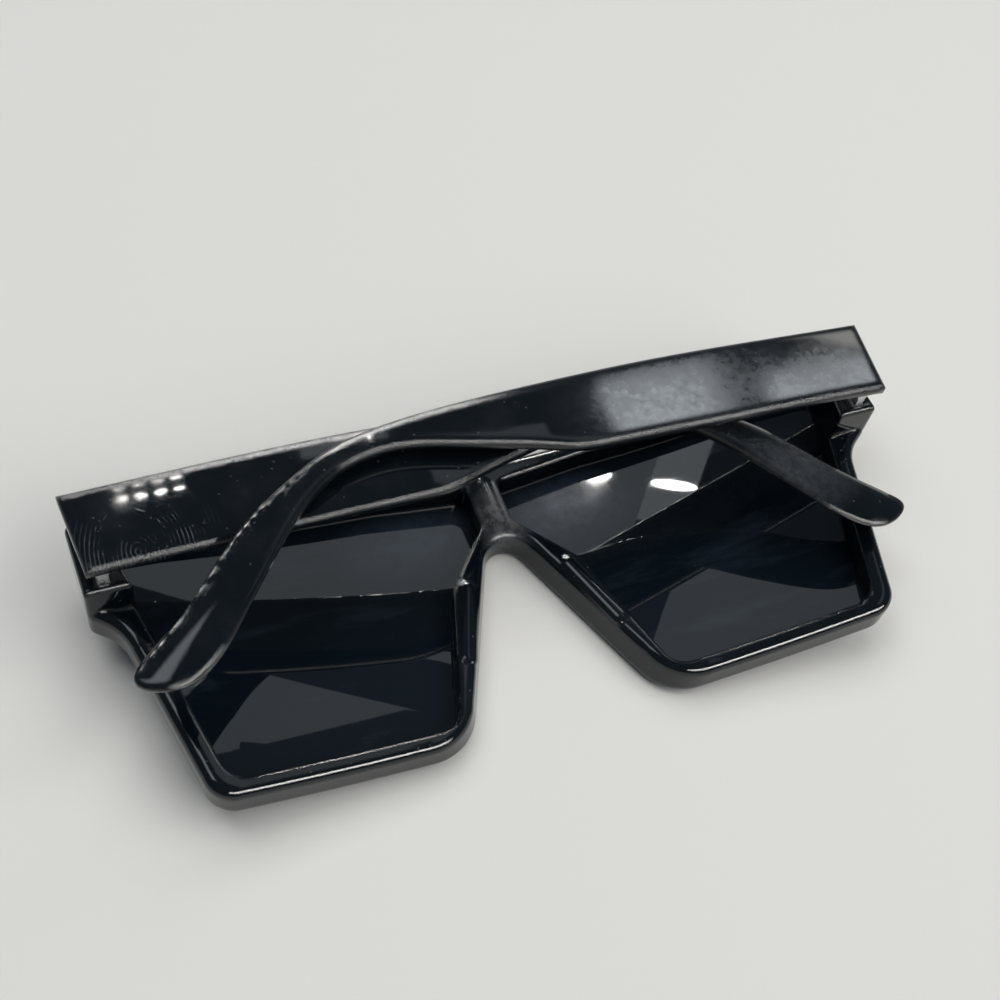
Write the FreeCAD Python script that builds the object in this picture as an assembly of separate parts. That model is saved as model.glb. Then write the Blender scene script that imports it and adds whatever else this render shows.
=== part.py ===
"""Oversized flat-top sunglasses, folded and lying on the front of the frame.

Millimetres. +X is the wearer's right, +Y is up towards the brow and +Z is towards the wearer's face.
Z = 0 is the lowest point of the front. The right temple is folded over the left one.
Each side is drawn as the right-hand side and mirrored for the left.
"""
import FreeCAD
import Part
import math
import os

Vector = FreeCAD.Vector

# Front, seen by the wearer
FRONT_WIDTH = 148.0
FRONT_HEIGHT = 52.6
WRAP_RADIUS = 300.0
RIM_DEPTH = 7.2
BROW_HEIGHT = 3.0
BOTTOM_RIM = 3.0
SIDE_RIM = 3.8
BROW_SLOPE_LENGTH = 16.0
BROW_DROP = 1.7
BROW_BEND_RADIUS = 90.0

# End-pieces that carry the hinges
END_RIM = 5.4
END_STEP = 5.9
END_HEIGHT = 16.7
END_TAPER = 0.5
END_CORNER = 1.8
NOTCH_ANGLE = 36.0
NOTCH_RADIUS = 8.0
FOOT_CORNER = 5.0

# Post, nose arch and nose flanks
POST_WIDTH = 6.2
POST_LENGTH = 8.7
ARCH_DEPTH = 16.5
ARCH_GAP = 4.4
FLANK_ANGLE = 23.2
FLANK_SPLAY = 1.6
FLANK_CORNER = 10.0
NOSE_RIM_TOP = 6.7
NOSE_RIM_FOOT = 3.6
KNEE_BELOW_POST = 10.9

# Rounded ridges on the back: the nose pads and the post's crown
PAD_LENGTH = 13.0
PAD_RADIUS = 2.2
PAD_DROP = 0.5
POST_CROWN_RADIUS = 4.6
POST_CROWN_FOOT = 3.2
RIDGE_RISE = 0.5
RIDGE_ROOT = 0.5

# Lenses
LENS_FLARE = 10.0
LENS_NOSE_FALL = 1.5
LENS_RISE_LENGTH = 17.0
LENS_BEND_RADIUS = 40.0
LENS_THICKNESS = 1.8
LENS_SETBACK = 4.6
GROOVE_DEPTH = 0.9
LENS_CLEARANCE = 0.06
LENS_CORNER_TOP = 2.0
LENS_CORNER_POST = 2.0
LENS_CORNER_FOOT = 4.5
LENS_KNEE_RADIUS = 5.0

# Temples, folded: shares are of the reach from the hinged end, and heights are above the hinge's middle
TEMPLE_REACH_SHARE = 0.9635
TEMPLE_THICKNESS = 2.6
TEMPLE_END_SLANT = 6.0
TEMPLE_TOP_CORNER = 9.7
TEMPLE_FOOT_CORNER = -5.6
TEMPLE_TOP_SHARES = [0.140, 0.316, 0.477, 0.570, 0.650, 0.730, 0.800, 0.855, 0.910, 0.965]
TEMPLE_TOP_HEIGHTS = [10.4, 10.8, 10.1, 9.3, 8.0, 5.2, 0.0, -5.4, -13.4, -20.0]
TEMPLE_TIP_HEIGHT = -25.2
TEMPLE_NECK_SHARES = [0.958, 0.912, 0.870, 0.818, 0.762, 0.728, 0.690, 0.648, 0.610, 0.570, 0.520, 0.470]
TEMPLE_NECK_HEIGHTS = [-28.2, -25.6, -19.2, -10.5, -2.5, 0.6, 2.4, 2.95, 2.2, 0.8, -0.9, -2.9]
TEMPLE_FOOT_SHARES = [0.432, 0.390, 0.200]
TEMPLE_FOOT_HEIGHTS = [-4.45, -4.8, -5.1]
EAR_BEND_SHARE = 0.666
EAR_CROWN_RADIUS = 14.0
EAR_CROWN_SHARES = [0.720, 0.835, 0.950]
EAR_CROWN_HEIGHTS = [3.8, -9.7, -23.2]
EAR_CROWN_RISES = [0.6, 0.1, -0.5]
EAR_BEND_DROP = 5.5
LEFT_FOLD_TILT = 1.5
RIGHT_FOLD_TILT = 2.0

# Hinges
HINGE_BELOW_TOP = 11.3
HINGE_ABOVE_SEAT = 3.4
BARREL_RADIUS = 1.1
BARREL_LENGTH = 2.7
BARREL_GAP = 0.12
TEMPLE_TO_AXIS = 1.4
SCREW_RADIUS = 0.6
SCREW_CLEARANCE = 0.04
SCREW_HEAD_RADIUS = 1.0
SCREW_HEAD_HEIGHT = 0.6
SCREW_SLOT_WIDTH = 0.3
SCREW_SLOT_DEPTH = 0.3
LEAF_THICKNESS = 0.9
LEAF_WIDTH = 1.5
LEAF_PLATE_LENGTH = 9.0
LEAF_PLATE_HEIGHT = 5.4
LEAF_FOOT_DEPTH = 2.6
LEAF_FOOT_WIDTH = 2.0
SEAT_CLEARANCE = 0.05
OPEN_GAP = 0.2

# Rounded edges
FRONT_ROUND = 1.6
BACK_ROUND = 1.7
END_ROUND = 0.9
OPENING_ROUND = 0.6
TEMPLE_ROUND = 0.8

# Room that cutting tools reach past the work, and how near counts as on a surface
REACH = 40.0
TOLERANCE = 0.01

TOP = FRONT_HEIGHT / 2
BOTTOM = -FRONT_HEIGHT / 2
HALF_WIDTH = FRONT_WIDTH / 2
WRAP_CENTRE_Z = RIM_DEPTH + WRAP_RADIUS
LENS_TOP = TOP - BROW_HEIGHT
LENS_NOSE_TOP = LENS_TOP - LENS_NOSE_FALL
LENS_END_TOP = LENS_TOP - BROW_DROP * (1 - END_RIM / BROW_SLOPE_LENGTH)
LENS_FOOT = BOTTOM + BOTTOM_RIM
END_FOOT = TOP - END_HEIGHT
ARCH_TOP = TOP - ARCH_DEPTH


def unit(vector):
    """The vector at length 1."""
    return vector * (1.0 / vector.Length)


def meet(point_a, along_a, point_b, along_b):
    """Where two lines of the XY plane cross."""
    cross = along_a.x * along_b.y - along_a.y * along_b.x
    gap = point_b - point_a
    share = (gap.x * along_b.y - gap.y * along_b.x) / cross
    return point_a + along_a * share


def offset_polygon(points, amount):
    """A polygon, given anticlockwise, with each side moved outwards by the amount."""
    count = len(points)
    lines = []
    for index in range(count):
        along = unit(points[(index + 1) % count] - points[index])
        outwards = Vector(along.y, -along.x, 0)
        lines.append((points[index] + outwards * amount, along))
    return [meet(*lines[index - 1], *lines[index]) for index in range(count)]


def rounded_edges(corners):
    """Edges of a closed outline from (point, radius) pairs, with arcs at the corners."""
    count = len(corners)
    bends = []
    for index in range(count):
        point, radius = corners[index]
        back = unit(corners[index - 1][0] - point)
        ahead = unit(corners[(index + 1) % count][0] - point)
        half = back.getAngle(ahead) / 2
        start = point + back * (radius / math.tan(half))
        end = point + ahead * (radius / math.tan(half))
        inwards = unit(back + ahead)
        middle = point + inwards * (radius / math.sin(half) - radius)
        bends.append((start, middle, end))
    edges = []
    for index in range(count):
        start, middle, end = bends[index]
        edges.append(Part.Arc(start, middle, end).toShape())
        edges.append(Part.makeLine(end, bends[(index + 1) % count][0]))
    return edges


def prism(wire, low, high):
    """A closed flat wire at Z = 0, drawn out from one height to another."""
    face = Part.Face(wire)
    face.translate(Vector(0, 0, low))
    return face.extrude(Vector(0, 0, high - low))


def wrap_cylinder(radius):
    """A drum about the wrap's upright axis."""
    return Part.makeCylinder(radius, FRONT_HEIGHT + 2 * REACH,
                             Vector(0, BOTTOM - REACH, WRAP_CENTRE_Z), Vector(0, 1, 0))


def mirrored(shape):
    """The shape's twin on the left-hand side."""
    return shape.mirror(Vector(0, 0, 0), Vector(1, 0, 0))


def middle_of(edge):
    """The point half-way along an edge."""
    return edge.valueAt((edge.FirstParameter + edge.LastParameter) / 2)


def wrap_distance(point):
    """How far a point lies from the wrap's axis."""
    return math.hypot(point.x, point.z - WRAP_CENTRE_Z)


def lens_corners(grow):
    """The right lens's corners, anticlockwise, grown outwards by the amount, with their radii."""
    inner = POST_WIDTH / 2
    outer = HALF_WIDTH - END_RIM
    post_foot = LENS_NOSE_TOP - POST_LENGTH
    knee_height = post_foot - KNEE_BELOW_POST
    knee = Vector(flank_x(knee_height, 0) + NOSE_RIM_TOP, knee_height, 0)
    foot = Vector(flank_x(LENS_FOOT, 0) + NOSE_RIM_FOOT, LENS_FOOT, 0)
    points = [Vector(inner, LENS_NOSE_TOP, 0), Vector(inner, post_foot, 0), knee, foot,
              Vector(outer - LENS_FLARE, LENS_FOOT, 0), Vector(outer, LENS_END_TOP, 0),
              Vector(HALF_WIDTH - BROW_SLOPE_LENGTH, LENS_TOP, 0),
              Vector(inner + LENS_RISE_LENGTH, LENS_TOP, 0)]
    radii = [LENS_CORNER_POST + grow, LENS_CORNER_POST + grow, LENS_KNEE_RADIUS - grow,
             LENS_CORNER_FOOT + grow, LENS_CORNER_FOOT + grow, LENS_CORNER_TOP + grow,
             LENS_BEND_RADIUS + grow, LENS_BEND_RADIUS + grow]
    return list(zip(offset_polygon(points, grow), radii))


def flank_x(height, splay):
    """How far out the nose flank stands at a height."""
    return ARCH_GAP / 2 + splay + (ARCH_TOP - height) * math.tan(math.radians(FLANK_ANGLE))


def front_wire(splay):
    """The front's outline, with the nose flanks spread by the splay."""
    outer = HALF_WIDTH
    top_bend = Vector(outer - BROW_SLOPE_LENGTH, TOP, 0)
    top_corner = Vector(outer, TOP - BROW_DROP, 0)
    end_corner = Vector(outer - END_TAPER, END_FOOT, 0)
    notch_way = Vector(-math.cos(math.radians(NOTCH_ANGLE)), -math.sin(math.radians(NOTCH_ANGLE)), 0)
    lens_top = Vector(HALF_WIDTH - END_RIM, LENS_END_TOP, 0)
    lens_foot = Vector(lens_top.x - LENS_FLARE, LENS_FOOT, 0)
    side_way = unit(lens_foot - lens_top)
    side_point = lens_top + Vector(-side_way.y, side_way.x, 0) * SIDE_RIM
    notch = meet(end_corner, notch_way, side_point, side_way)
    foot_corner = meet(side_point, side_way, Vector(0, BOTTOM, 0), Vector(1, 0, 0))
    flank_foot = Vector(flank_x(BOTTOM, splay), BOTTOM, 0)
    lean = math.radians(FLANK_ANGLE)
    arch_radius = flank_x(ARCH_TOP, splay) * math.cos(lean) / (1 - math.sin(lean))
    arch_tip = Vector(0, ARCH_TOP + arch_radius * (1 / math.sin(lean) - 1), 0)
    right = [(top_bend, BROW_BEND_RADIUS), (top_corner, END_CORNER), (end_corner, END_CORNER),
             (notch, NOTCH_RADIUS), (foot_corner, FOOT_CORNER), (flank_foot, FLANK_CORNER)]
    left = [(Vector(-point.x, point.y, 0), radius) for point, radius in reversed(right)]
    return Part.Wire(rounded_edges(right + [(arch_tip, arch_radius)] + left))


HINGE_X = HALF_WIDTH - TEMPLE_THICKNESS - TEMPLE_TO_AXIS
HINGE_Y = TOP - HINGE_BELOW_TOP
HINGE_LENGTH = 3 * BARREL_LENGTH + 2 * BARREL_GAP
SEAT_Z = RIM_DEPTH + WRAP_RADIUS - math.sqrt(WRAP_RADIUS ** 2 - HINGE_X ** 2) + END_STEP
HINGE_Z = SEAT_Z + HINGE_ABOVE_SEAT
TEMPLE_INNER_Z = HINGE_Z + TEMPLE_TO_AXIS
TEMPLE_OUTER_Z = TEMPLE_INNER_Z + TEMPLE_THICKNESS
TEMPLE_END_X = HINGE_X + HINGE_ABOVE_SEAT - OPEN_GAP
TEMPLE_REACH = FRONT_WIDTH * TEMPLE_REACH_SHARE
EAR_BEND_X = TEMPLE_END_X - TEMPLE_REACH * EAR_BEND_SHARE


def temple_end_x(height):
    """Where the slanted end of the folded temple lies at a height."""
    return TEMPLE_END_X + (height - HINGE_Y) * math.tan(math.radians(TEMPLE_END_SLANT))


def seat_z(height):
    """The end-piece's back at a height: the temple's slanted end comes to rest on it when opened."""
    return SEAT_Z - (height - HINGE_Y) * math.tan(math.radians(TEMPLE_END_SLANT))


def lens_prism(grow):
    """The right lens's outline, grown by the amount and drawn right through the front."""
    return prism(Part.Wire(rounded_edges(lens_corners(grow))), -REACH, REACH)


def wrapped_layer(solid, near, far):
    """The part of a solid between two distances in front of the rims' back."""
    return solid.common(wrap_cylinder(WRAP_RADIUS + far)).cut(wrap_cylinder(WRAP_RADIUS + near))


def edges_at(solid, distance):
    """The edges that lie at a distance from the wrap's axis."""
    return [edge for edge in solid.Edges if abs(wrap_distance(middle_of(edge)) - distance) < TOLERANCE]


def front_blank():
    """The front's outline drawn out towards the wearer, with the nose flanks spreading as it goes."""
    rate = FLANK_SPLAY / RIM_DEPTH
    wires = []
    for height in (-REACH / 4, REACH):
        wire = front_wire(rate * height)
        wire.translate(Vector(0, 0, height))
        wires.append(wire)
    return Part.makeLoft(wires, True, True)


def rim_plate(blank):
    """The wrapped rims, brow and post, with rounded edges and both lens openings."""
    plate = wrapped_layer(blank, 0, RIM_DEPTH)
    plate = plate.makeFillet(FRONT_ROUND, edges_at(plate, WRAP_RADIUS + RIM_DEPTH))
    plate = plate.makeFillet(BACK_ROUND, edges_at(plate, WRAP_RADIUS))
    opening = lens_prism(0)
    plate = plate.cut([opening, mirrored(opening)])
    wire = Part.Wire(rounded_edges(lens_corners(0)))
    lens_edges = []
    for edge in edges_at(plate, WRAP_RADIUS):
        point = middle_of(edge)
        spot = Part.Vertex(Vector(abs(point.x), point.y, 0))
        if spot.distToShape(wire)[0] < TOLERANCE:
            lens_edges.append(edge)
    return plate.makeFillet(OPENING_ROUND, lens_edges)


def end_piece(blank):
    """The thick block behind the rim that carries the right hinge."""
    low = END_FOOT
    high = TOP + REACH
    side = Part.makePolygon([Vector(0, low, 0), Vector(0, high, 0), Vector(0, high, seat_z(high)),
                             Vector(0, low, seat_z(low)), Vector(0, low, 0)])
    block = Part.Face(side).extrude(Vector(HALF_WIDTH + REACH, 0, 0))
    lens_foot, lens_top = lens_corners(0)[4][0], lens_corners(0)[5][0]
    inner_way = lens_top - lens_foot
    inner_foot = meet(lens_foot, inner_way, Vector(0, low - REACH, 0), Vector(1, 0, 0))
    inner_top = meet(lens_foot, inner_way, Vector(0, high + REACH, 0), Vector(1, 0, 0))
    inside = Part.makePolygon([inner_foot, inner_top, inner_top - Vector(FRONT_WIDTH, 0, 0),
                               inner_foot - Vector(FRONT_WIDTH, 0, 0), inner_foot])
    block = block.cut(prism(inside, -REACH, REACH))
    block = block.common(blank).common(wrap_cylinder(WRAP_RADIUS + RIM_DEPTH / 2))
    back_edges = []
    for edge in block.Edges:
        point = middle_of(edge)
        if abs(point.z - seat_z(point.y)) < TOLERANCE:
            back_edges.append(edge)
    return block.makeFillet(END_ROUND, back_edges)


def back_z(across):
    """The rims' back at a distance from the middle plane."""
    return WRAP_CENTRE_Z - math.sqrt(WRAP_RADIUS ** 2 - across ** 2)


def ridge(start, end, radius):
    """A low round-ended ridge on the rims' back between two points of the XY plane."""
    ends = []
    for point in (start, end):
        ends.append(Vector(point.x, point.y, back_z(point.x) + RIDGE_RISE - radius))
    along = ends[1] - ends[0]
    bead = Part.makeCylinder(radius, along.Length, ends[0], along)
    bead = bead.fuse([Part.makeSphere(radius, end) for end in ends])
    return bead.common(wrap_cylinder(WRAP_RADIUS + RIDGE_ROOT))


def rim_middle(height):
    """The middle of the rim's back between the right nose flank and the lens, at a height."""
    knee, foot = lens_corners(0)[2][0], lens_corners(0)[3][0]
    share = (knee.y - height) / (knee.y - foot.y)
    lens_edge = knee.x + (foot.x - knee.x) * share
    return Vector((lens_edge + flank_x(height, FLANK_SPLAY)) / 2, height, 0)


def nose_pad():
    """The right nose pad: a long ridge down the flank."""
    start_height = lens_corners(0)[2][0].y - PAD_DROP
    return ridge(rim_middle(start_height), rim_middle(start_height - PAD_LENGTH), PAD_RADIUS)


def post_crown():
    """The rounded back of the post between the lenses."""
    return ridge(Vector(0, ARCH_TOP + POST_CROWN_FOOT, 0), Vector(0, LENS_NOSE_TOP, 0), POST_CROWN_RADIUS)


def hinge_drum(radius, low, high):
    """A round bar on the right hinge's pivot line between two heights."""
    return Part.makeCylinder(radius, high - low, Vector(HINGE_X, low, HINGE_Z), Vector(0, 1, 0))


def hinge_box(half_width, low, high, near, far):
    """A box centred across the pivot line, between two heights and two depths."""
    return Part.makeBox(2 * half_width, high - low, far - near, Vector(HINGE_X - half_width, low, near))


def barrel_span(index):
    """The lower and upper ends of one of the three barrels."""
    low = HINGE_Y - HINGE_LENGTH / 2 + index * (BARREL_LENGTH + BARREL_GAP)
    return low, low + BARREL_LENGTH


def hinge_bore():
    """The hole that the screw passes through."""
    return hinge_drum(SCREW_RADIUS + SCREW_CLEARANCE, HINGE_Y - HINGE_LENGTH, HINGE_Y + HINGE_LENGTH)


def leaf_foot(grow, rise):
    """The right frame leaf's foot, grown on its buried sides and raised above the seat."""
    low = HINGE_Y - HINGE_LENGTH / 2 - grow
    high = HINGE_Y + HINGE_LENGTH / 2 + grow
    base = SEAT_Z - LEAF_FOOT_DEPTH - grow
    half_width = LEAF_FOOT_WIDTH / 2 + grow
    side = Part.makePolygon([Vector(0, low, base), Vector(0, high, base),
                             Vector(0, high, seat_z(high) + rise), Vector(0, low, seat_z(low) + rise),
                             Vector(0, low, base)])
    foot = Part.Face(side).extrude(Vector(2 * half_width, 0, 0))
    foot.translate(Vector(HINGE_X - half_width, 0, 0))
    return foot


def frame_leaf():
    """The right hinge's fixed leaf: a buried foot and the two outer barrels."""
    leaf = leaf_foot(0, 0)
    for index in (0, 2):
        low, high = barrel_span(index)
        web = hinge_box(LEAF_WIDTH / 2, low, high, SEAT_Z - LEAF_FOOT_DEPTH / 2, HINGE_Z)
        leaf = leaf.fuse([web, hinge_drum(BARREL_RADIUS, low, high)])
    return leaf.cut(hinge_bore()).removeSplitter()


def leaf_plate(grow):
    """The right temple leaf's plate, grown on its buried sides."""
    length = LEAF_PLATE_LENGTH + 2 * grow
    height = LEAF_PLATE_HEIGHT + 2 * grow
    corner = Vector(HINGE_X + LEAF_WIDTH / 2 + grow - length, HINGE_Y - height / 2, TEMPLE_INNER_Z)
    return Part.makeBox(length, height, LEAF_THICKNESS + grow, corner)


def temple_leaf():
    """The right hinge's moving leaf: a plate let into the temple and the middle barrel."""
    low, high = barrel_span(1)
    web = hinge_box(LEAF_WIDTH / 2, low, high, HINGE_Z, TEMPLE_INNER_Z + LEAF_THICKNESS / 2)
    leaf = leaf_plate(0).fuse([web, hinge_drum(BARREL_RADIUS, low, high)])
    return leaf.cut(hinge_bore()).removeSplitter()


def hinge_screw():
    """The right hinge's slotted screw, which is the pin."""
    low = HINGE_Y - HINGE_LENGTH / 2
    high = HINGE_Y + HINGE_LENGTH / 2
    top = high + SCREW_HEAD_HEIGHT
    screw = hinge_drum(SCREW_RADIUS, low, high).fuse(hinge_drum(SCREW_HEAD_RADIUS, high, top))
    slot = hinge_box(SCREW_SLOT_WIDTH / 2, top - SCREW_SLOT_DEPTH, top + SCREW_SLOT_DEPTH,
                     HINGE_Z - SCREW_HEAD_RADIUS * 2, HINGE_Z + SCREW_HEAD_RADIUS * 2)
    return screw.cut(slot).removeSplitter()


def frame_front():
    """The whole moulding: rims, brow, post, nose pads and end-pieces, cut for the lenses and hinges."""
    blank = front_blank()
    plate = rim_plate(blank)
    block = end_piece(blank)
    pad = nose_pad()
    front = plate.fuse([block, mirrored(block), pad, mirrored(pad), post_crown()]).removeSplitter()
    groove = wrapped_layer(lens_prism(GROOVE_DEPTH), LENS_SETBACK - LENS_CLEARANCE,
                           LENS_SETBACK + LENS_THICKNESS + LENS_CLEARANCE)
    pocket = leaf_foot(SEAT_CLEARANCE, REACH)
    return front.cut([groove, mirrored(groove), pocket, mirrored(pocket)])


def right_lens():
    """The right lens, wrapped like the front, with its edge in the groove."""
    outline = lens_prism(GROOVE_DEPTH - LENS_CLEARANCE)
    return wrapped_layer(outline, LENS_SETBACK, LENS_SETBACK + LENS_THICKNESS)


def temple_point(share, height):
    """A point of the right temple's outline from its share of the reach and its height."""
    return Vector(TEMPLE_END_X - TEMPLE_REACH * share, HINGE_Y + height, 0)


def temple_outline():
    """The right temple's outline, folded: a slanted end and two long curves that meet at the tip."""
    top = Vector(temple_end_x(HINGE_Y + TEMPLE_TOP_CORNER), HINGE_Y + TEMPLE_TOP_CORNER, 0)
    foot = Vector(temple_end_x(HINGE_Y + TEMPLE_FOOT_CORNER), HINGE_Y + TEMPLE_FOOT_CORNER, 0)
    tip = temple_point(1, TEMPLE_TIP_HEIGHT)
    top_points = [temple_point(*pair) for pair in zip(TEMPLE_TOP_SHARES, TEMPLE_TOP_HEIGHTS)]
    neck_points = [temple_point(*pair) for pair in zip(TEMPLE_NECK_SHARES, TEMPLE_NECK_HEIGHTS)]
    foot_points = [temple_point(*pair) for pair in zip(TEMPLE_FOOT_SHARES, TEMPLE_FOOT_HEIGHTS)]
    curve = Part.BSplineCurve()
    curve.interpolate([top] + top_points + [tip] + neck_points + foot_points + [foot])
    middle = curve.parameter(tip)
    halves = [curve.toShape(curve.FirstParameter, middle), curve.toShape(middle, curve.LastParameter)]
    return Part.Wire(halves + [Part.makeLine(foot, top)])


def bent_slab():
    """The right temple's thickness: flat to the ear, then curved towards the lenses."""
    length = TEMPLE_REACH * (1 - EAR_BEND_SHARE)
    radius = length ** 2 / (2 * EAR_BEND_DROP)
    sweep = (length + REACH) / radius
    centre_z = TEMPLE_INNER_Z - radius
    lines = []
    for reach in (radius, radius + TEMPLE_THICKNESS):
        start = Vector(TEMPLE_END_X + REACH, 0, centre_z + reach)
        bend = Vector(EAR_BEND_X, 0, centre_z + reach)
        arc = []
        for turn in (sweep / 2, sweep):
            arc.append(Vector(EAR_BEND_X - reach * math.sin(turn), 0, centre_z + reach * math.cos(turn)))
        lines.append([start, bend] + arc)
    inner, outer = lines
    wire = Part.Wire([Part.makeLine(inner[0], inner[1]), Part.Arc(inner[1], inner[2], inner[3]).toShape(),
                      Part.makeLine(inner[3], outer[3]), Part.Arc(outer[3], outer[2], outer[1]).toShape(),
                      Part.makeLine(outer[1], outer[0]), Part.makeLine(outer[0], inner[0])])
    slab = Part.Face(wire).extrude(Vector(0, 2 * FRONT_HEIGHT, 0))
    slab.translate(Vector(0, HINGE_Y - FRONT_HEIGHT, 0))
    return slab


def outer_z(across):
    """The outer face of the right temple's bent thickness at a place across the front."""
    past = max(EAR_BEND_X - across, 0)
    return TEMPLE_OUTER_Z - EAR_BEND_DROP * (past / (TEMPLE_REACH * (1 - EAR_BEND_SHARE))) ** 2


def ear_crown():
    """The waste above the right ear piece's rounded outer face."""
    points = []
    for share, height, rise in zip(EAR_CROWN_SHARES, EAR_CROWN_HEIGHTS, EAR_CROWN_RISES):
        point = temple_point(share, height)
        points.append(Vector(point.x, point.y, outer_z(point.x) + rise))
    line = Part.Circle(*points)
    crown = Part.makeTorus(line.Radius - EAR_CROWN_RADIUS, EAR_CROWN_RADIUS, line.Center, line.Axis)
    corner = Vector(points[0].x - TEMPLE_REACH, HINGE_Y - FRONT_HEIGHT, points[2].z - TEMPLE_THICKNESS / 2)
    return Part.makeBox(TEMPLE_REACH, 2 * FRONT_HEIGHT, REACH, corner).cut(crown)


def right_temple():
    """The right temple before its folded tilt, with rounded edges and the leaf's pocket."""
    temple = prism(temple_outline(), 0, 2 * REACH).common(bent_slab())
    face_edges = []
    for edge in temple.Edges:
        point = middle_of(edge)
        on_face = min(abs(point.z - TEMPLE_INNER_Z), abs(point.z - TEMPLE_OUTER_Z)) < TOLERANCE
        if on_face and point.x > EAR_BEND_X + TOLERANCE:
            face_edges.append(edge)
    temple = temple.makeFillet(TEMPLE_ROUND, face_edges)
    return temple.cut([leaf_plate(SEAT_CLEARANCE), ear_crown()])


def folded(shape, tilt):
    """A right-hand piece turned about the hinge's pivot line."""
    turned = shape.copy()
    turned.rotate(Vector(HINGE_X, HINGE_Y, HINGE_Z), Vector(0, 1, 0), tilt)
    return turned


def save(shape, name):
    """Writes one piece, named as its node."""
    shape.exportStep("parts/" + name + ".step")
    box = shape.optimalBoundingBox()
    print(name, len(shape.Solids), shape.isValid(), round(shape.Volume, 2), box)


os.makedirs("parts", exist_ok=True)
lens = right_lens()
fixed_leaf = frame_leaf()
screw = hinge_screw()
temple = right_temple()
moving_leaf = temple_leaf()
save(frame_front(), "frame_front")
save(lens, "right_lens")
save(mirrored(lens), "left_lens")
save(fixed_leaf, "right_frame_hinge_leaf")
save(mirrored(fixed_leaf), "left_frame_hinge_leaf")
save(screw, "right_hinge_screw")
save(mirrored(screw), "left_hinge_screw")
save(folded(temple, RIGHT_FOLD_TILT), "right_temple")
save(mirrored(folded(temple, -LEFT_FOLD_TILT)), "left_temple")
save(folded(moving_leaf, RIGHT_FOLD_TILT), "right_temple_hinge_leaf")
save(mirrored(folded(moving_leaf, -LEFT_FOLD_TILT)), "left_temple_hinge_leaf")
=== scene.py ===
import math

import bpy
from mathutils import Matrix, Vector

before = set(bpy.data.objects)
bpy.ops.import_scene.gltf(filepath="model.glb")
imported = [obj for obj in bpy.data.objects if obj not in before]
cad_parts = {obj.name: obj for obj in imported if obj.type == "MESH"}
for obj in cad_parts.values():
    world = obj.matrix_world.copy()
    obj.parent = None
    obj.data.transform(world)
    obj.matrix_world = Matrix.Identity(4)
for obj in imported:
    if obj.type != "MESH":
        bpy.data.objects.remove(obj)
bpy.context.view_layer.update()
scene = bpy.context.scene
MM = 0.001

# Camera, as the photograph was taken
CAMERA_PLACE = Vector((-76.7, -109.8, 224.8)) * MM
CAMERA_ELEVATION = math.radians(55.45)
CAMERA_AZIMUTH = math.radians(31.8)
CAMERA_ROLL = math.radians(13.65)
CAMERA_NEAR = 0.01
CAMERA_FAR = 20
FOCAL_SHARE = 1.434
SENSOR = 36.0

# Black plastic of the frame and the temples. Colours and roughness run from clean to dirty, and the dirty
# end also paints the lighter patches of painted sheen; a band is the part of a noise in which a mark fades
# in.
PLASTIC_IOR = 1.49
PLASTIC_COLOURS = (0.0028, 0.005, 0.0072), (0.1, 0.105, 0.115)
PLASTIC_ROUGHNESS = 0.025, 0.32
TEMPLE_SOFT_EDGE = 2.2 * MM
FRAME_SOFT_EDGE = 1.0 * MM
SOFT_EDGE_SAMPLES = 8
SMEAR_SCALE = 90
SMEAR_ROUGH = 0.6
SMEAR_BAND = 0.5, 0.8
SMEAR_MOST = 0.12
SMEAR_AND_SHEEN_SHARE = 0.6
CLOUD_SCALE = 650
CLOUD_ROUGH = 0.75
CLOUD_BAND = 0.3, 0.7
CLOUD_LEAST = 0.25
FINE_DETAIL = 5
PATCH_SOFTNESS = 0.7
RIPPLE_SCALE = 200
RIPPLE_DETAIL = 2
RIPPLE_HEIGHT = 0.1 * MM
RIPPLE_STRENGTH = 0.03
DUST_SCALE = 420
DUST_SIZE = 0.11
DUST_CORE = 0.6
DUST_AMOUNT = 0.3

# Ridges that a fingertip leaves
PRINT_SCALE = 450
PRINT_STRETCH = (1000, 1600, 1000)
PRINT_WAVER = 6
PRINT_WAVER_SCALE = 0.3
PRINT_DETAIL = 3
PRINT_BAND = 0.6, 0.95
PRINT_BREAK_SCALE = 260
PRINT_BREAK_BAND = 0.42, 0.6
PRINT_SOFTNESS = 0.5
PRINT_AMOUNT = 0.5

# Lens plastic, in the same terms
LENS_IOR = 1.55
LENS_COLOURS = (0.0034, 0.0066, 0.0102), (0.036, 0.05, 0.074)
LENS_ROUGHNESS = 0.015, 0.14
LENS_STROKE = (30, 6, 30)
LENS_STROKE_ROUGH = 0.65
LENS_STROKE_BAND = 0.55, 0.85
LENS_STROKE_MOST = 0.4
LENS_FILM_SCALE = 300
LENS_FILM_ROUGH = 0.7
LENS_FILM_BAND = 0.3, 0.7
LENS_FILM_LEAST = 0.4
LENS_HAZE_SOFTNESS = 0.8
LENS_LEAN = 0.15
LENS_TWIST = 2.0

# Steel of the hinges and screws
HINGE_TONE = 0.55
SCREW_TONE = 0.62
STEEL_BLUE = 1.02
STEEL_GRAIN_SCALE = 900
STEEL_GRAIN_DETAIL = 3
STEEL_GRAIN_BAND = 0.3, 0.7
STEEL_ROUGHNESS = 0.22, 0.4

# Where the plastic is hazy or carries finger prints, or where a lighter patch paints sheen: centre, reach
# and amount, in millimetres
RIGHT_HAZES = [((36, 17, 30), (30, 14, 14), 0.5), ((62, 15, 29), (14, 10, 10), 0.45)]
# Left ear patch: painted sheen, lighter colour standing in for light that this face catches.
LEFT_EAR_PAINTED_SHEEN = [((50, 2, 21), (18, 12, 5), 1)]
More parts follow.
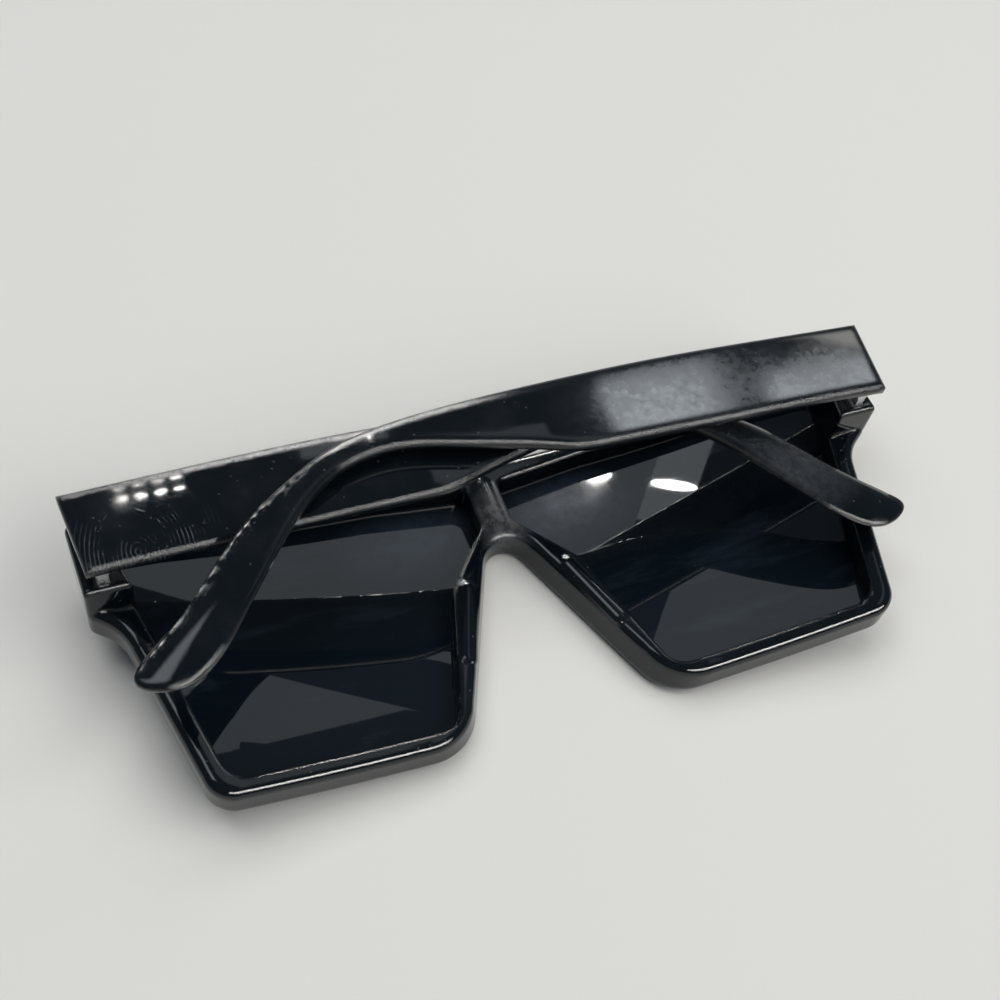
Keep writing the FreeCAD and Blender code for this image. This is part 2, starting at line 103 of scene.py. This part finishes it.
# Post patch: painted sheen, lighter colour standing in for the highlight on the post's crown.
POST_PAINTED_SHEEN = [((1, 13, 8), (6, 9, 8), 1.6)]
LEFT_PRINTS = [((-64, 11, 28), (15, 11, 8))]
LENS_HAZES = [((14, 15, 4), (17, 9, 8), 0.9), ((-14, 15, 4), (19, 9, 8), 0.7)]

# Table and room
TABLE_SIZE = 6
TABLE_TONE = (0.74, 0.735, 0.715)
TABLE_ROUGHNESS = 0.6
ROOM_TONE = (0.85, 1, 1.15)
ROOM_LEVEL = 0.1

# Soft lamps under the ceiling that shine straight down: place, width and depth in metres, and power
CEILING = 0.6
PANEL_TONE = (0.88, 0.95, 1)
CEILING_PANELS = [
    ("near_panel", (0.25, 0.15, CEILING), (0.1, 0.5), 0.094),
    ("far_panel", (0.245, 0.59, CEILING), (0.23, 0.26), 0.12),
    ("far_strip", (0.155, 0.435, CEILING), (0.07, 0.05), 0.0135),
    ("right_panel", (0.395, 0.395, CEILING), (0.09, 0.06), 0.13),
    ("right_end_panel", (0.525, 0.385, CEILING), (0.1, 0.045), 0.09),
    ("ear_panel", (-0.22, 0.11, CEILING), (0.24, 0.18), 0.35),
]

# Soft lamps that shine at an aim: place, width and depth in metres, power, tone, aim, and if it is mirrored
KEY_TONE = (1, 0.975, 0.94)
AIMED_PANELS = [
    ("front_panel", (0.35, -0.75, 0.55), (0.5, 0.12), 0.5, PANEL_TONE, (0, 0, 0), True),
    ("soft_key", (-0.1, 0.45, 1.2), (1.2, 1.0), 8.2, KEY_TONE, (0, 0.1, 0), False),
    ("near_fill", (0.5, -0.45, 0.9), (1.2, 0.6), 7.0, KEY_TONE, (0, 0, 0), False),
]

# Small bright lamps that only glossy faces mirror.
# Each spot is a centre and two half reaches, in millimetres.
GLOW_SIDES = 12
GLOW_TONE = (1, 0.98, 0.95)
LAMP_BARS = [((x, 600, 360), (2.5, 0, 0), (46, 0, 70)) for x in range(0, 240, 16)]
LAMP_DOTS = [((x, 600, 320), (3, 0, 0), (0, 0, 30)) for x in range(-420, -20, 20)]
LEFT_END_ROWS = (405, 415, 425)
LEFT_END_LAMPS = [((x, y, 600), (4, 0, 0), (0, 1.6, 0)) for x in range(2, 50, 12) for y in LEFT_END_ROWS]
LENS_SPOTS = ((566, 12.5), (519, 16), (434, 25))
LENS_LAMPS = [((165, y, 600), (3.2, 0, 0), (0, reach, 0)) for y, reach in LENS_SPOTS]
FRONT_STRIP = [((330, -750, 550), (570, 0, 0), (0, 42, 56))]
RIGHT_END_LAMP = [((600, 470, 600), (80, 0, 0), (0, 60, 0))]
GLOWS = [
    ("lamp_bars", LAMP_BARS, 160),
    ("lamp_dots", LAMP_DOTS, 90),
    ("left_end_lamps", LEFT_END_LAMPS, 50),
    ("lens_lamps", LENS_LAMPS, 60),
    ("front_strip", FRONT_STRIP, 36),
    ("right_end_lamp", RIGHT_END_LAMP, 4),
]


def add_camera():
    data = bpy.data.cameras.new("photo_camera")
    data.sensor_width = SENSOR
    data.lens = SENSOR * FOCAL_SHARE
    data.clip_start = CAMERA_NEAR
    data.clip_end = CAMERA_FAR
    level = math.cos(CAMERA_ELEVATION)
    ahead = Vector((
        level * math.sin(CAMERA_AZIMUTH),
        level * math.cos(CAMERA_AZIMUTH),
        -math.sin(CAMERA_ELEVATION),
    ))
    flat_right = ahead.cross(Vector((0, 0, 1))).normalized()
    flat_up = flat_right.cross(ahead)
    right = flat_right * math.cos(CAMERA_ROLL) + flat_up * math.sin(CAMERA_ROLL)
    up = flat_up * math.cos(CAMERA_ROLL) - flat_right * math.sin(CAMERA_ROLL)
    camera = bpy.data.objects.new("photo_camera", data)
    turn = Matrix((right, up, -ahead)).transposed().to_4x4()
    camera.matrix_world = Matrix.Translation(CAMERA_PLACE) @ turn
    scene.collection.objects.link(camera)
    scene.camera = camera


def new_material(name):
    material = bpy.data.materials.new(name)
    material.use_nodes = True
    tree = material.node_tree
    return material, tree.nodes, tree.links, tree.nodes["Principled BSDF"]


def noise(nodes, links, place, scale, detail, rough=0.5):
    texture = nodes.new("ShaderNodeTexNoise")
    texture.inputs["Scale"].default_value = scale
    texture.inputs["Detail"].default_value = detail
    texture.inputs["Roughness"].default_value = rough
    links.new(place, texture.inputs["Vector"])
    return texture.outputs["Fac"]


def ramp(nodes, links, value, low, high, start, end):
    span = nodes.new("ShaderNodeMapRange")
    span.inputs["From Min"].default_value = low
    span.inputs["From Max"].default_value = high
    span.inputs["To Min"].default_value = start
    span.inputs["To Max"].default_value = end
    links.new(value, span.inputs["Value"])
    return span.outputs["Result"]


def place_of(nodes):
    return nodes.new("ShaderNodeTexCoord").outputs["Object"]


def bumped(nodes, links, shader, height, distance, strength, soft_edge=0):
    bump = nodes.new("ShaderNodeBump")
    if soft_edge:
        bevel = nodes.new("ShaderNodeBevel")
        bevel.samples = SOFT_EDGE_SAMPLES
        bevel.inputs["Radius"].default_value = soft_edge
        links.new(bevel.outputs["Normal"], bump.inputs["Normal"])
    bump.inputs["Distance"].default_value = distance
    bump.inputs["Strength"].default_value = strength
    links.new(height, bump.inputs["Height"])
    links.new(bump.outputs["Normal"], shader.inputs["Normal"])


def mixed(nodes, links, amount, low, high):
    mix = nodes.new("ShaderNodeMix")
    mix.data_type = "RGBA"
    mix.inputs["A"].default_value = (*low, 1)
    mix.inputs["B"].default_value = (*high, 1)
    links.new(amount, mix.inputs["Factor"])
    return mix.outputs["Result"]


def maths(nodes, links, kind, *values):
    node = nodes.new("ShaderNodeMath")
    node.operation = kind
    for socket, value in zip(node.inputs, values):
        if isinstance(value, (int, float)):
            socket.default_value = value
        else:
            links.new(value, socket)
    return node.outputs["Value"]


def moved(nodes, links, place, centre, stretch):
    shift = nodes.new("ShaderNodeMapping")
    shift.vector_type = "TEXTURE"
    shift.inputs["Location"].default_value = [value * MM for value in centre]
    shift.inputs["Scale"].default_value = [value * MM for value in stretch]
    links.new(place, shift.inputs["Vector"])
    return shift.outputs["Vector"]


def patch(nodes, links, place, centre, reach, soft):
    """One inside an oval patch and nought outside it, with a soft border."""
    local = moved(nodes, links, place, centre, reach)
    length = nodes.new("ShaderNodeVectorMath")
    length.operation = "LENGTH"
    links.new(local, length.inputs[0])
    return ramp(nodes, links, length.outputs["Value"], 1 - soft, 1, 1, 0)


def specks(nodes, links, place, scale, size):
    cells = nodes.new("ShaderNodeTexVoronoi")
    cells.inputs["Scale"].default_value = scale
    links.new(place, cells.inputs["Vector"])
    return ramp(nodes, links, cells.outputs["Distance"], size * DUST_CORE, size, 1, 0)


def lay_haze_and_sheen(nodes, links, place, smear_and_sheen, haze_and_sheen_patches, soft, grain):
    """The wiped marks with hazier patches and patches of painted sheen laid over them, each broken up by
    the grain.
    """
    for centre, reach, amount in haze_and_sheen_patches:
        zone = maths(nodes, links, "MULTIPLY", patch(nodes, links, place, centre, reach, soft), amount)
        smear_and_sheen = maths(nodes, links, "MAXIMUM", smear_and_sheen, maths(nodes, links, "MULTIPLY", zone, grain))
    return smear_and_sheen


def finger_print(nodes, links, place, centre, reach):
    """The fine ridges that a fingertip leaves."""
    rings = nodes.new("ShaderNodeTexWave")
    rings.wave_type = "RINGS"
    rings.rings_direction = "Z"
    rings.inputs["Scale"].default_value = PRINT_SCALE
    rings.inputs["Distortion"].default_value = PRINT_WAVER
    rings.inputs["Detail"].default_value = PRINT_DETAIL
    rings.inputs["Detail Scale"].default_value = PRINT_WAVER_SCALE
    links.new(moved(nodes, links, place, centre, PRINT_STRETCH), rings.inputs["Vector"])
    lines = ramp(nodes, links, rings.outputs["Fac"], *PRINT_BAND, 0, 1)
    gaps = noise(nodes, links, place, PRINT_BREAK_SCALE, PRINT_DETAIL)
    broken = ramp(nodes, links, gaps, *PRINT_BREAK_BAND, 0, 1)
    zone = patch(nodes, links, place, centre, reach, PRINT_SOFTNESS)
    return maths(nodes, links, "MULTIPLY", zone, maths(nodes, links, "MULTIPLY", lines, broken))


def black_plastic(name, haze_and_sheen_patches, prints, soft_edge):
    """Polished black plastic with faint wiped smears, grains of dust, finger prints, hazier patches and
    patches of painted sheen.
    """
    material, nodes, links, shader = new_material(name)
    place = place_of(nodes)
    shader.inputs["IOR"].default_value = PLASTIC_IOR
    wiped = noise(nodes, links, place, SMEAR_SCALE, FINE_DETAIL, SMEAR_ROUGH)
    smear_and_sheen = ramp(nodes, links, wiped, *SMEAR_BAND, 0, SMEAR_MOST)
    grain = noise(nodes, links, place, CLOUD_SCALE, FINE_DETAIL, CLOUD_ROUGH)
    cloud = ramp(nodes, links, grain, *CLOUD_BAND, CLOUD_LEAST, 1)
    smear_and_sheen = lay_haze_and_sheen(nodes, links, place, smear_and_sheen, haze_and_sheen_patches, PATCH_SOFTNESS, cloud)
    for centre, reach in prints:
        ridges = finger_print(nodes, links, place, centre, reach)
        smear_and_sheen = maths(nodes, links, "MAXIMUM", smear_and_sheen, maths(nodes, links, "MULTIPLY", ridges, PRINT_AMOUNT))
    dust = maths(nodes, links, "MULTIPLY", specks(nodes, links, place, DUST_SCALE, DUST_SIZE), DUST_AMOUNT)
    # The dirty colour paints real smears and dust, and also the lighter patches of painted sheen.
    dirt_and_sheen = maths(nodes, links, "ADD", maths(nodes, links, "MULTIPLY", smear_and_sheen, SMEAR_AND_SHEEN_SHARE), dust)
    links.new(mixed(nodes, links, dirt_and_sheen, *PLASTIC_COLOURS), shader.inputs["Base Color"])
    links.new(ramp(nodes, links, smear_and_sheen, 0, 1, *PLASTIC_ROUGHNESS), shader.inputs["Roughness"])
    ripple = noise(nodes, links, place, RIPPLE_SCALE, RIPPLE_DETAIL)
    bumped(nodes, links, shader, ripple, RIPPLE_HEIGHT, RIPPLE_STRENGTH, soft_edge)
    return material


def lens_plastic():
    """Dark grey lens plastic, wiped in streaks and slightly warped, which turns what it mirrors."""
    material, nodes, links, shader = new_material("lens_plastic")
    place = place_of(nodes)
    shader.inputs["IOR"].default_value = LENS_IOR
    along_stroke = moved(nodes, links, place, (0, 0, 0), LENS_STROKE)
    strokes = noise(nodes, links, along_stroke, 1, FINE_DETAIL, LENS_STROKE_ROUGH)
    smear_and_sheen = ramp(nodes, links, strokes, *LENS_STROKE_BAND, 0, LENS_STROKE_MOST)
    grain = noise(nodes, links, place, LENS_FILM_SCALE, FINE_DETAIL, LENS_FILM_ROUGH)
    film = ramp(nodes, links, grain, *LENS_FILM_BAND, LENS_FILM_LEAST, 1)
    smear_and_sheen = lay_haze_and_sheen(nodes, links, place, smear_and_sheen, LENS_HAZES, LENS_HAZE_SOFTNESS, film)
    links.new(mixed(nodes, links, smear_and_sheen, *LENS_COLOURS), shader.inputs["Base Color"])
    links.new(ramp(nodes, links, smear_and_sheen, 0, 1, *LENS_ROUGHNESS), shader.inputs["Roughness"])
    split = nodes.new("ShaderNodeSeparateXYZ")
    links.new(place, split.inputs["Vector"])
    across = maths(nodes, links, "ABSOLUTE", split.outputs["X"])
    lean = maths(nodes, links, "MULTIPLY_ADD", across, LENS_TWIST, -LENS_LEAN)
    bumped(nodes, links, shader, maths(nodes, links, "MULTIPLY", split.outputs["Y"], lean), 1, 1)
    return material


def steel(name, tone):
    material, nodes, links, shader = new_material(name)
    grain = noise(nodes, links, place_of(nodes), STEEL_GRAIN_SCALE, STEEL_GRAIN_DETAIL)
    shader.inputs["Base Color"].default_value = (tone, tone, tone * STEEL_BLUE, 1)
    shader.inputs["Metallic"].default_value = 1
    rough = ramp(nodes, links, grain, *STEEL_GRAIN_BAND, *STEEL_ROUGHNESS)
    links.new(rough, shader.inputs["Roughness"])
    return material


def dress(node, material):
    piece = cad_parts[node]
    piece.data.materials.clear()
    piece.data.materials.append(material)


def add_floor():
    bpy.ops.mesh.primitive_plane_add(size=TABLE_SIZE, location=(0, 0, 0))
    floor = bpy.context.object
    floor.name = "floor"
    material, *_, shader = new_material("pale_table")
    shader.inputs["Base Color"].default_value = (*TABLE_TONE, 1)
    shader.inputs["Roughness"].default_value = TABLE_ROUGHNESS
    shader.inputs["Specular IOR Level"].default_value = 0
    floor.data.materials.append(material)


def add_panel(name, place, size, power, tone=PANEL_TONE, aim=None, mirrored=True):
    """A soft lamp that shines straight down, or at the aim."""
    data = bpy.data.lights.new(name, "AREA")
    data.shape = "RECTANGLE"
    data.size, data.size_y = size
    data.energy = power
    data.color = tone
    panel = bpy.data.objects.new(name, data)
    panel.location = place
    if aim:
        panel.rotation_euler = (Vector(aim) - Vector(place)).to_track_quat("-Z", "Y").to_euler()
    panel.visible_camera = False
    panel.visible_glossy = mirrored
    scene.collection.objects.link(panel)


def add_glow(name, spots, strength):
    """Small bright lamps that only the glossy faces mirror."""
    points = []
    faces = []
    for centre, along, across in spots:
        first = len(points)
        for step in range(GLOW_SIDES):
            turn = 2 * math.pi * step / GLOW_SIDES
            offset = Vector(along) * math.cos(turn) + Vector(across) * math.sin(turn)
            points.append((Vector(centre) + offset) * MM)
        faces.append(range(first, first + GLOW_SIDES))
    mesh = bpy.data.meshes.new(name)
    mesh.from_pydata(points, [], faces)
    material, *_, shader = new_material(name)
    shader.inputs["Base Color"].default_value = (0, 0, 0, 1)
    shader.inputs["Emission Color"].default_value = (*GLOW_TONE, 1)
    shader.inputs["Emission Strength"].default_value = strength
    mesh.materials.append(material)
    glow = bpy.data.objects.new(name, mesh)
    glow.visible_camera = False
    glow.visible_diffuse = False
    glow.visible_shadow = False
    scene.collection.objects.link(glow)


def add_world():
    world = bpy.data.worlds.new("room")
    world.use_nodes = True
    background = world.node_tree.nodes["Background"]
    background.inputs["Color"].default_value = (*ROOM_TONE, 1)
    background.inputs["Strength"].default_value = ROOM_LEVEL
    scene.world = world


scene.view_settings.view_transform = "Standard"
add_camera()
add_floor()
add_world()
for panel_values in CEILING_PANELS + AIMED_PANELS:
    add_panel(*panel_values)
for glow_values in GLOWS:
    add_glow(*glow_values)

# The frame's lighter post patch is painted sheen.
frame_black = black_plastic("frame_plastic", POST_PAINTED_SHEEN, [], FRAME_SOFT_EDGE)
# The left ear's lighter patch is painted sheen; the right temple's hazes and the finger print are real
# marks.
temple_black = black_plastic("temple_plastic", RIGHT_HAZES + LEFT_EAR_PAINTED_SHEEN, LEFT_PRINTS, TEMPLE_SOFT_EDGE)
smoke = lens_plastic()
hinge_steel = steel("hinge_metal", HINGE_TONE)
screw_steel = steel("screw_metal", SCREW_TONE)
dress("frame_front", frame_black)
for side in ("left", "right"):
    dress(side + "_temple", temple_black)
    dress(side + "_lens", smoke)
    dress(side + "_frame_hinge_leaf", hinge_steel)
    dress(side + "_temple_hinge_leaf", hinge_steel)
    dress(side + "_hinge_screw", screw_steel)
